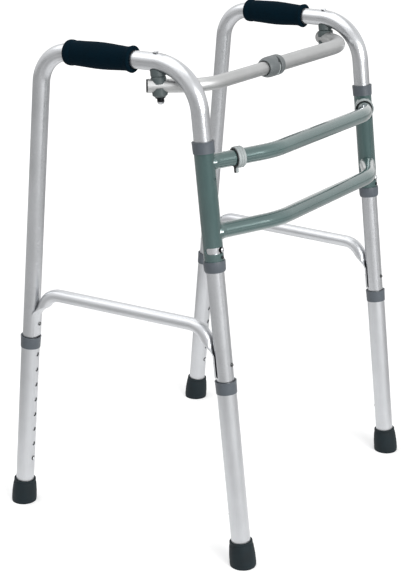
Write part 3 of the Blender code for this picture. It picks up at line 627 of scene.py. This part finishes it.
def metal_lines(finish, lean):
    """Faint drawn lines along a tube that leans back by this angle."""
    turned = (-lean, 0.0, 0.0)
    return finish.noise(900.0, 3.0, {"Rotation": turned, "Scale": (1.0, 1.0, 0.012)})


def aluminium(name, colour, roughness, lean=None):
    """Satin aluminium: cloudy anodising, fine grain, and drawn lines along straight tubes."""
    finish = Finish(name, Metallic=1.0)
    cloud = finish.noise(26.0, 3.0)
    grain = finish.noise(3200.0, 2.0)
    lines = grain if lean is None else metal_lines(finish, lean)
    tone = finish.ramp(0.65 * cloud + 0.35 * lines, (0.30, 0.0), (0.70, 1.0))
    finish.tones(tone, colour, 0.93, 1.05)
    finish.roughness(roughness - 0.04 + 0.04 * cloud + 0.05 * lines)
    finish.relief(0.5 * grain + 0.5 * lines, 0.000008)
    return finish


class WALKER_OT_tubes(bpy.types.Operator):
    """Satin aluminium on the side frames, braces, legs and top bar"""

    bl_idname = "walker.tubes"
    bl_label = "Aluminium tubes"

    def execute(self, context):
        look = context.scene.walker_finishes
        frames = aluminium("satin_aluminium", look.aluminium, look.frame_roughness)
        legs = {"front": self.legs("front", FRONT_LEAN, look)}
        legs["rear"] = self.legs("rear", -REAR_LEAN, look)
        bar = aluminium("matt_aluminium", look.bar, look.bar_roughness)
        # Painted light: the braces get a lighter copy of the frames' aluminium, which brightens
        # them where the lighting leaves them dark.
        painted_light_aluminium = shade(look.aluminium, 1.04)
        braces = aluminium("satin_aluminium_braces", painted_light_aluminium, look.brace_roughness)
        for side in SIDES:
            dress(frames, f"{side}_frame_tube")
            dress(braces, f"{side}_brace")
            for end, finish in legs.items():
                dress(finish, f"{side}_{end}_lower_tube")
        dress(bar, "inner_bar_tube", "outer_bar_tube")
        return {"FINISHED"}

    def legs(self, end, lean, look):
        """Drawn tube whose hole walls, nearer its axis than its skin is, are black as painted
        shade.
        """
        name = f"satin_aluminium_{end}_legs"
        finish = aluminium(name, look.aluminium, look.leg_roughness, lean)
        radius = finish.node("ShaderNodeAttribute", output="Fac", attribute_name="radius")
        # Painted shade: black on the hole walls stands in for the shadow inside the holes.
        finish.cover(1.0 - finish.above(radius, LEG_TUBE_RADIUS - 0.00015, 0.0001), look.black)
        return finish


class WALKER_OT_front_frame(bpy.types.Operator):
    """Green-grey paint on the sleeves and crossbars"""

    bl_idname = "walker.front_frame"
    bl_label = "Painted front frame"

    def execute(self, context):
        look = context.scene.walker_finishes
        satin = dict(Coat_Weight=0.7, Coat_Roughness=0.08)
        glossy = dict(Coat_Weight=1.0, Coat_Roughness=0.05, Coat_IOR=1.65)
        sleeves = self.paint("paint_on_sleeves", look.paint, satin, look)
        crossbars = self.paint("paint_on_crossbars", look.bar_paint, glossy, look)
        dress(sleeves, "right_sleeve", "left_sleeve")
        dress(crossbars, "upper_crossbar", "lower_crossbar")
        return {"FINISHED"}

    def paint(self, name, colour, coat, look):
        """Glossy paint with a fine flake."""
        finish = Finish(name, Metallic=0.25, **coat)
        flake = finish.noise(5200.0, 2.0)
        cloud = finish.noise(18.0, 3.0)
        tone = finish.ramp(0.55 * flake + 0.45 * cloud, (0.32, 0.0), (0.68, 1.0))
        finish.tones(tone, colour, 0.86, 1.14)
        finish.roughness(look.paint_roughness + 0.05 * cloud)
        finish.relief(finish.noise(420.0, 2.0), 0.00001)
        return finish


def moulding(name, colour, roughness, **constants):
    """Moulded plastic: a fine spark-eroded grain, with slightly uneven gloss and tone."""
    finish = Finish(name, **constants)
    grain = finish.noise(900.0, 3.0)
    cloud = finish.noise(45.0, 2.0)
    tone = finish.ramp(0.5 * grain + 0.5 * cloud, (0.30, 0.0), (0.70, 1.0))
    finish.tones(tone, colour, 0.86, 1.12)
    finish.roughness(roughness - 0.06 + 0.12 * cloud)
    finish.relief(grain, 0.00002)
    return finish


def smooth_outline(corners, count):
    """Points along a smooth line through pairs of distance and radius."""
    points = []
    spans = len(corners) - 1
    for step in range(count + 1):
        at = step / count * spans
        span = min(int(at), spans - 1)
        share = at - span
        around = [corners[min(max(span + k, 0), spans)] for k in (-1, 0, 1, 2)]
        pair = []
        for before, first, second, after in zip(*around):
            slope_in, slope_out = (second - before) / 2, (after - first) / 2
            square, cube = share * share, share**3
            pair.append(
                (2 * cube - 3 * square + 1) * first
                + (cube - 2 * square + share) * slope_in
                + (3 * square - 2 * cube) * second
                + (cube - square) * slope_out
            )
        points.append(tuple(pair))
    return points


def clip_place(word):
    """On the upper crossbar at its clip: local Z inboard along the bar and local Y up."""
    line, side, from_sleeve = LINES["upper_crossbar"][0], SIDES[word], 0.0540
    along = from_sleeve if side < 0 else line.along[-1] - from_sleeve
    centre, outward = line.at(np.array([along]))
    up = Vector(line.normal)
    inboard = -side * up.cross(Vector(outward[0]))
    turn = Matrix((up.cross(inboard), up, inboard)).transposed().to_4x4()
    return Matrix.Translation(centre[0]) @ turn


def lock_place():
    """On the middle of the top bar: local Z along it to the left and local Y up."""
    turn = Matrix(((0, 0, 1), (1, 0, 0), (0, 1, 0))).to_4x4()
    return Matrix.Translation((0, BAR_MIDDLE_Y, BAR_HEIGHT)) @ turn


class WALKER_OT_mouldings(bpy.types.Operator):
    """Moulded plastic on bushes, collars, clips, saddles, the twist lock and the end plugs"""

    bl_idname = "walker.mouldings"
    bl_label = "Plastic mouldings"

    # The twist lock's outlines, as pairs of distance along the bar and radius
    RING = (
        (-0.0085, 0.0114), (-0.0085, 0.0136), (-0.0095, 0.0147), (-0.0103, 0.0150),
        (-0.0188, 0.0150), (-0.0195, 0.0144), (-0.0195, 0.0114),
    )
    COLLET = ((-0.0300, 0.0099), (-0.0300, 0.0110), (-0.0190, 0.0112), (-0.0190, 0.0099))
    NUT_BARREL = (
        (-0.0470, 0.0116), (-0.0455, 0.0125), (-0.0425, 0.0138), (-0.0385, 0.0147),
        (-0.0340, 0.0150), (-0.0290, 0.0150), (-0.0250, 0.0150), (-0.0225, 0.0150),
    )
    NUT_BORE = (
        (-0.0214, 0.0148), (-0.0202, 0.0140), (-0.0202, 0.0114), (-0.0440, 0.0114),
        (-0.0448, 0.0104), (-0.0466, 0.0104), (-0.0470, 0.0108),
    )

    def execute(self, context):
        look = context.scene.walker_finishes
        slate = moulding("slate_moulding", look.slate, 0.42)
        saddle = moulding("saddle_moulding", look.saddle, 0.48)
        clip = moulding("clip_moulding", look.clip, 0.45)
        black = moulding("black_moulding", look.black, 0.45, Specular_IOR_Level=0.25)
        for side in SIDES:
            dress(slate, f"{side}_sleeve_top_cap", f"{side}_sleeve_bottom_cap")
            dress(saddle, *(f"{side}_{piece}" for piece in SADDLES))
            self.clip(side, clip, black)
            dress(black, f"{side}_bar_end_plug", f"{side}_sleeve_rivet")
        dress(slate, *(f"{leg}_collar" for leg in LEGS))
        self.twist_lock(self.lock_finish(look), black)
        dress(black, "bar_slider")
        return {"FINISHED"}

    def clip(self, word, light, black):
        """A ribbed ring with a lug under it, on a black liner with a rim and a tab."""
        place, sides = clip_place(word), 72
        start, end, inner, outer, bevel, ribs = -0.0085, 0.0032, 0.01305, 0.0150, 0.0006, 3
        pitch = (end - start - 2 * bevel) / ribs
        outline = [(start, inner), (start, outer - 0.0007), (start + bevel, outer - 0.0001)]
        for rib in range(ribs):
            at = start + bevel + rib * pitch
            outline += [(at + 0.2 * pitch, outer), (at + 0.8 * pitch, outer)]
            outline.append((at + pitch, outer - bevel))
        outline += [(end, outer - 0.0008), (end, inner)]
        ring = revolve(outline, sides, place)
        lug, lug_middle = (0.0050, 0.0075, 0.0042), (0, -0.0175, start + 0.0021)
        block(ring, lug, lug_middle, place, 0.0005)
        show(f"{word}_clip_ring_round", ring, light, f"{word}_clip_ring")
        rim, inside, inner, outer, bevel = start - 0.0012, end - 0.0010, 0.01125, 0.0129, 0.0003
        outline = [(rim, inner), (rim, outer - bevel), (rim + bevel, outer)]
        outline += [(inside, outer), (inside, inner)]
        liner = revolve(outline, sides, place)
        tab, tab_middle = (0.0042, 0.0092, 0.0009), (0, -0.0165, start - 0.00075)
        block(liner, tab, tab_middle, place, 0.0002)
        show(f"{word}_clip_liner_round", liner, black, f"{word}_clip_liner")

    def lock_finish(self, look):
        """The twist lock's grey, with a painted highlight: a light band low on the front of the
        nut's end.
        """
        finish = moulding("lock_moulding", look.lock, 0.45)
        start, end, top = -0.0262, -0.0228, 0.0035
        along, height = finish.coordinate("X"), finish.coordinate("Z") - BAR_HEIGHT
        # Painted highlight: a lighter band round the nut's end, kept below a height on the bar.
        edge = finish.above(along, start, 0.0003) - finish.above(along, end, 0.0003)
        finish.cover(edge * (1.0 - finish.above(height, top, 0.0012)), look.clip, 1.2)
        return finish

    def twist_lock(self, grey, black):
        """A ribbed ring, a barrel nut that rises from it by a ramp, and the dark collet between."""
        place, sides = lock_place(), 192
        ring = revolve(self.RING, sides, place, self.ribbed)
        show("lock_ring_round", ring, grey, "lock_ring")
        collet = revolve(self.COLLET, sides // 2, place)
        show("lock_collet", collet, black, "lock_ring")
        outline = smooth_outline(self.NUT_BARREL, 42) + list(self.NUT_BORE)
        nut = revolve(outline, sides, place, self.ramped)
        show("lock_nut_round", nut, grey, "lock_nut")

    def ribbed(self, along, radius, angle):
        """The ring's outside has fine ribs along it."""
        ribs, depth, outside = 48, 0.00025, 0.0140
        if radius > outside:
            radius -= depth * (0.5 + 0.5 * math.cos(ribs * angle))
        return along, radius

    def ramped(self, along, radius, angle):
        """The nut's end stands off the ring, most at a step on the front of its top.

        Past the step it falls at once to a slit, and the gap fades out along the nut.
        """
        ramp_start, step, slit_end = 108.0, 150.0, 216.0
        step_gap, slit_gap, fall_per_degree = 0.0060, 0.0022, 0.0010
        fade_start, fade_length = -0.0300, 0.0080
        turned, gap = math.degrees(angle), 0.0
        if ramp_start < turned <= step:
            gap = step_gap * (turned - ramp_start) / (step - ramp_start)
        elif step < turned < slit_end:
            gap = max(slit_gap, step_gap - fall_per_degree * (turned - step))
        share = min(max((along - fade_start) / fade_length, 0.0), 1.0)
        return along - gap * share, radius


class WALKER_OT_feet(bpy.types.Operator):
    """Dark rubber on the four feet"""

    bl_idname = "walker.feet"
    bl_label = "Rubber feet"

    def execute(self, context):
        look = context.scene.walker_finishes
        finish = Finish("foot_rubber", Specular_IOR_Level=0.25)
        grain = finish.noise(1400.0, 3.0)
        dust = finish.noise(60.0, 4.0, roughness=0.6)
        tone = finish.ramp(dust, (0.35, 0.0), (0.75, 1.0))
        finish.tones(tone, look.rubber, 0.85, 1.35)
        finish.roughness(0.62 + 0.16 * dust)
        finish.relief(grain, 0.00004)
        dress(finish, *(f"{leg}_tip" for leg in LEGS))
        return {"FINISHED"}


class WALKER_OT_fasteners(bpy.types.Operator):
    """Steel and zinc on rivets, buttons, bolts and nuts"""

    bl_idname = "walker.fasteners"
    bl_label = "Rivets, buttons and bolts"

    # How far from a leg's axis its buttons' seats end, near which the painted shade on their walls
    # stops, and where the pivots' nuts do
    SEAT = 0.0143
    NUT_END_HEIGHT = 0.6672

    def execute(self, context):
        look = context.scene.walker_finishes
        rivets = self.rivet_steel(look)
        dome = self.dome(look)
        for side in SIDES:
            self.button(f"{side}_lock_button", f"{side}_sleeve", dome, radius=0.0036, tip=0.0168)
            dress(rivets, f"{side}_brace_front_rivet", f"{side}_brace_rear_rivet")
        for leg in LEGS:
            tube = f"{leg}_lower_tube"
            self.button(f"{leg}_snap_button", tube, dome, radius=0.0027, tip=0.0162)
        bolts = aluminium("bolt_zinc", look.aluminium, 0.42)
        dress(bolts, "right_pivot_bolt", "left_pivot_bolt")
        dress(self.domed_nut(look), "right_pivot_nut", "left_pivot_nut")
        return {"FINISHED"}

    def rivet_steel(self, look):
        """Steel that has darkened unevenly."""
        finish = Finish("bright_steel", Metallic=1.0)
        marks = finish.noise(2200.0, 3.0, {"Scale": (1.0, 1.0, 0.2)})
        finish.tones(marks, look.steel, 0.06, 0.22)
        finish.roughness(0.20 + 0.18 * marks)
        finish.relief(marks, 0.00001)
        return finish

    def dome(self, look):
        """Bright steel on a button's dome, above a wall painted black as painted shade, the shadow
        gap round the button.
        """
        finish = aluminium("button_steel", look.steel, 0.24)
        # Painted shade: the wall below the dome is black for the shadow gap round the button.
        wall = 1.0 - finish.above(finish.coordinate("Z"), self.SEAT + 0.0007, 0.0001)
        finish.cover(wall, look.black)
        return finish

    def button(self, name, leg, finish, radius, tip):
        """A domed button that stands out of a leg, drawn in its own axes with Z outward."""
        spots = np.array([vert.co for vert in frame["nodes"][name].data.vertices])
        middle = spots.mean(axis=0)
        line = LINES[leg][0]
        centre = line.at(line.unroll(middle[None])[0])[0][0]
        outward = Vector(middle - centre)
        root, bevel, rim = 0.0100, 0.0003, radius + 0.0009
        inner = self.SEAT + bevel
        outline = [(root, rim), (self.SEAT, rim), (inner, rim - bevel), (inner, radius)]
        rise = tip - self.SEAT - 0.0005
        for lean in range(0, 86, 12):
            turned = math.radians(lean)
            outline.append((tip - rise + rise * math.sin(turned), radius * math.cos(turned)))
        made = revolve(outline, 32, Matrix(), capped=True)
        turn = outward.to_track_quat("Z", "Y").to_matrix().to_4x4()
        show(f"{name}_round", made, finish, name, Matrix.Translation(centre) @ turn)

    def domed_nut(self, look):
        """A blackened nut and washer with the bright end of the bolt below."""
        finish = aluminium("nut_zinc", look.aluminium, 0.35)
        upper = finish.above(finish.coordinate("Z"), self.NUT_END_HEIGHT, 0.0003)
        finish.cover(upper, look.black, 1.6)
        return finish


def handle_place(side):
    """At the sleeve's line on the handle, with local Z along the handle towards its rear."""
    front = Matrix.Translation((0, 0, HANDLE_HEIGHT)) @ Matrix.Rotation(-math.pi / 2, 4, "X")
    return side_frame_place(side) @ front


class WALKER_OT_grips(bpy.types.Operator):
    """The two foam grips, each a swelling sleeve with a flared front and a ring at its rear"""

    bl_idname = "walker.grips"
    bl_label = "Foam grips"

    def outline(self, size):
        """Distance along the handle and radius, out over the grip and back through its bore."""
        bore = FRAME_TUBE_RADIUS + FIT_GAP
        rear = size.long
        corners = [
            (0.0004, bore), (0.0000, bore + 0.0020), (0.0000, size.lip - 0.0022),
            (0.0007, size.lip - 0.0004), (0.0022, size.lip), (0.0052, size.lip - 0.0008),
            (0.0105, size.waist), (0.0210, size.waist + 0.0004),
            (0.0400, size.palm - 0.0004), (0.0600, size.palm), (0.0780, size.palm - 0.0006),
            (rear - 0.0170, size.ring - 0.0005), (rear - 0.0130, size.ring - 0.0011),
            (rear - 0.0095, size.ring - 0.0001), (rear - 0.0050, size.ring),
            (rear - 0.0020, size.ring - 0.0007), (rear - 0.0004, size.ring - 0.0020),
            (rear, size.ring - 0.0036), (rear, bore + 0.0020), (rear - 0.0004, bore + 0.0005),
        ]
        return [(size.front + along, radius) for along, radius in smooth_outline(corners, 150)]

    def uneven(self, along, radius, angle):
        """Foam is never quite even: low waves all over, a tenth of a millimetre high."""
        waves, height = 90.0, 0.00012
        spot = Vector((radius * math.cos(angle), radius * math.sin(angle), along))
        return along, radius + noise.noise(spot * waves) * height

    def foam(self, look):
        """Closed-cell foam: small cells under a cloudy skin."""
        finish = Finish("closed_cell_foam", Specular_IOR_Level=0.06)
        spot = finish.node("ShaderNodeTexCoord", output="Object")
        cells = finish.node("ShaderNodeTexVoronoi", {"Vector": spot, "Scale": 1500.0})
        cloud = finish.noise(70.0, 4.0, roughness=0.6)
        tone = finish.ramp(0.5 * cells + 0.5 * cloud, (0.25, 0.0), (0.75, 1.0))
        finish.tones(tone, look.foam, 0.75, 1.35)
        finish.roughness(0.84 + 0.12 * cloud)
        finish.relief(0.7 * cells + 0.3 * finish.noise(500.0, 3.0), 0.00012)
        return finish

    def execute(self, context):
        size = context.scene.walker_grip
        finish = self.foam(context.scene.walker_finishes)
        for word, side in SIDES.items():
            made = revolve(self.outline(size), 72, handle_place(side), self.uneven)
            grip = show(f"{word}_foam_grip", made, finish, f"{word}_grip")
        return {"FINISHED"}


class WALKER_OT_studio(bpy.types.Operator):
    """The white floor, the lamps, the world and the camera"""

    bl_idname = "walker.studio"
    bl_label = "White studio"

    # The soft boxes' places and sizes, and the spot at which both aim
    LAMPS = {
        "front": ((-1.2, -3.15, 1.55), (2.4, 1.1)),
        "top": ((-0.6, 0.6, 3.2), (4.2, 4.2)),
    }
    LAMP_AIM = (0.0, 0.0, 0.40)

    def execute(self, context):
        set_up = context.scene.walker_studio
        context.scene.view_settings.view_transform = "Standard"
        self.floor(context, set_up)
        self.world(context, set_up)
        for word, (place, size) in self.LAMPS.items():
            power = getattr(set_up, f"{word}_lamp")
            self.lamp(context, f"{word}_soft_box", power, place, size)
        self.camera(context, set_up)
        return {"FINISHED"}

    def floor(self, context, set_up):
        """A round floor, which runs out of sight."""
        made = bmesh.new()
        bmesh.ops.create_circle(made, cap_ends=True, segments=96, radius=set_up.floor_radius)
        data = bpy.data.meshes.new("studio_floor")
        made.to_mesh(data)
        made.free()
        data.materials.append(self.paper(set_up).material)
        floor = bpy.data.objects.new("studio_floor", data)
        context.scene.collection.objects.link(floor)
        self.keep_below_feet(context, floor)

    def paper(self, set_up):
        """White paper, whiter to the camera and in reflections, with painted light: a ring of
        painted shade in its colour, and a glow in reflections that is brightest in the middle.
        """
        finish = Finish("studio_floor", Roughness=0.9, Emission_Strength=1.0)
        spot = finish.node("ShaderNodeTexCoord", output="Object")
        distance = finish.node("ShaderNodeVectorMath", {0: spot}, "Value", operation="LENGTH")
        beyond = finish.above(distance, edge=0.62, blur=0.34)
        # Painted shade: the floor's colour is darker in a ring round the walker, which the tubes
        # reflect.
        painted_shade_ring = beyond - 0.65 * finish.above(distance, edge=1.45, blur=0.45)
        finish.tones(painted_shade_ring, set_up.floor_colour, 1.0, 0.72)
        reach, distances = 5.0, (0.25, 1.0, 4.0)
        glows = (set_up.floor_glow, set_up.open_glow, set_up.sweep_glow)
        stops = [(at / reach, glow) for at, glow in zip(distances, glows)]
        seen = finish.ramp(distance * (1 / reach), *stops)
        # Painted light: the floor glows in reflections, most in the middle, a painted pool of
        # light.
        mirrored = set_up.mirrored_glow * (1.0 - beyond + 0.5 * (1.0 - painted_shade_ring))
        camera, shown = finish.rays()
        glow = shown * (camera * seen + (1.0 - camera) * mirrored)
        white = finish.blend(glow, shade(WHITE, 0.0), shade(WHITE, 1.0))
        finish.join(white, finish.shader.inputs["Emission Color"])
        return finish

    def keep_below_feet(self, context, floor):
        """The floor gives way under a leg that is drawn out, so that no foot sinks into it."""
        for leg in LEGS:
            low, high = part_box(f"{leg}_tip")
            sole = bpy.data.objects.new(f"{leg}_sole", None)
            sole.location = ((low[0] + high[0]) / 2, (low[1] + high[1]) / 2, low[2])
            context.scene.collection.objects.link(sole)
            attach(sole, frame["nodes"][f"{leg}_tip"]["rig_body"])
            limit = floor.constraints.new("FLOOR")
            limit.target = sole
            limit.floor_location = "FLOOR_NEGATIVE_Z"

    def world(self, context, set_up):
        """Even light all round, and white walls in reflections, a little darker on one side."""
        world = bpy.data.worlds.new("white_studio")
        world.use_nodes = True
        context.scene.world = world
        nodes = Nodes(world.node_tree)
        ahead = nodes.node("ShaderNodeTexCoord", output="Generated")
        sockets = {0: ahead, 1: Vector(set_up.dark_side).normalized()}
        facing = nodes.node("ShaderNodeVectorMath", sockets, "Value", operation="DOT_PRODUCT")
        height = nodes.node("ShaderNodeSeparateXYZ", {"Vector": ahead}, "Z")
        high = nodes.above(height, edge=0.24, blur=0.14)
        overhead = nodes.above(height, edge=0.75, blur=0.15)
        darkest = 0.85
        low_wall = nodes.ramp(facing, (0.0, 1.0), (darkest, set_up.dark_level))
        walls = low_wall * (1.0 - high) + set_up.high_wall * high
        walls = walls - (set_up.high_wall - 1.0) * overhead
        camera, shown = nodes.rays()
        mirrored = shown * (camera + (1.0 - camera) * walls)
        level = mirrored + (1.0 - shown) * set_up.surround
        background = world.node_tree.nodes["Background"]
        background.inputs["Color"].default_value = shade(WHITE, 1.0)
        nodes.join(level, background.inputs["Strength"])

    def lamp(self, context, name, power, place, size):
        """A soft box that aims at the walker."""
        data = bpy.data.lights.new(name, "AREA")
        data.energy = power
        data.shape = "RECTANGLE"
        data.size, data.size_y = size
        lamp = bpy.data.objects.new(name, data)
        lamp.location = place
        lamp.rotation_mode = "QUATERNION"
        aim = Vector(self.LAMP_AIM) - Vector(place)
        lamp.rotation_quaternion = aim.to_track_quat("-Z", "Y")
        context.scene.collection.objects.link(lamp)

    def camera(self, context, set_up):
        """The photograph's camera, whose optical centre lies a little off the picture's middle."""
        data = bpy.data.cameras.new("studio_camera")
        data.sensor_width = SENSOR
        data.lens = set_up.focal_length
        data.shift_x, data.shift_y = (shift / PHOTO_LONG_SIDE for shift in CENTRE_SHIFT)
        turn = Matrix.Rotation(CAMERA_TURN, 4, "Z") @ Matrix.Rotation(CAMERA_TILT, 4, "X")
        stand = Matrix.Translation(CAMERA_PLACE) @ turn
        camera = bpy.data.objects.new("studio_camera", data)
        camera.matrix_world = stand @ Matrix.Rotation(CAMERA_ROLL, 4, "Z")
        context.scene.collection.objects.link(camera)
        context.scene.camera = camera


class WALKER_PT_panel(bpy.types.Panel):
    """The steps that dress the walker, in order"""

    bl_idname = "WALKER_PT_panel"
    bl_label = "Walking frame"
    bl_space_type = "VIEW_3D"
    bl_region_type = "UI"
    bl_category = "Walker"

    def draw(self, context):
        for name in GROUPS:
            group = getattr(context.scene, name)
            box = self.layout.box()
            for setting in group.__annotations__:
                box.prop(group, setting)
        for step in STEPS:
            self.layout.operator(step.bl_idname)


GROUPS = {
    "walker_finishes": WalkerFinishes,
    "walker_grip": WalkerGrip,
    "walker_studio": WalkerStudio,
}
STEPS = (
    WALKER_OT_tubes,
    WALKER_OT_front_frame,
    WALKER_OT_mouldings,
    WALKER_OT_feet,
    WALKER_OT_fasteners,
    WALKER_OT_grips,
    WALKER_OT_studio,
)
CLASSES = (*GROUPS.values(), *STEPS, WALKER_PT_panel)


def register():
    for made in CLASSES:
        bpy.utils.register_class(made)
    for name, group in GROUPS.items():
        setattr(bpy.types.Scene, name, bpy.props.PointerProperty(type=group))


def unregister():
    for name in GROUPS:
        delattr(bpy.types.Scene, name)
    for made in reversed(CLASSES):
        bpy.utils.unregister_class(made)


def main():
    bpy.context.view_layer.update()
    register()
    for step in STEPS:
        group, name = step.bl_idname.split(".")
        getattr(getattr(bpy.ops, group), name)()


if __name__ == "__main__":
    main()
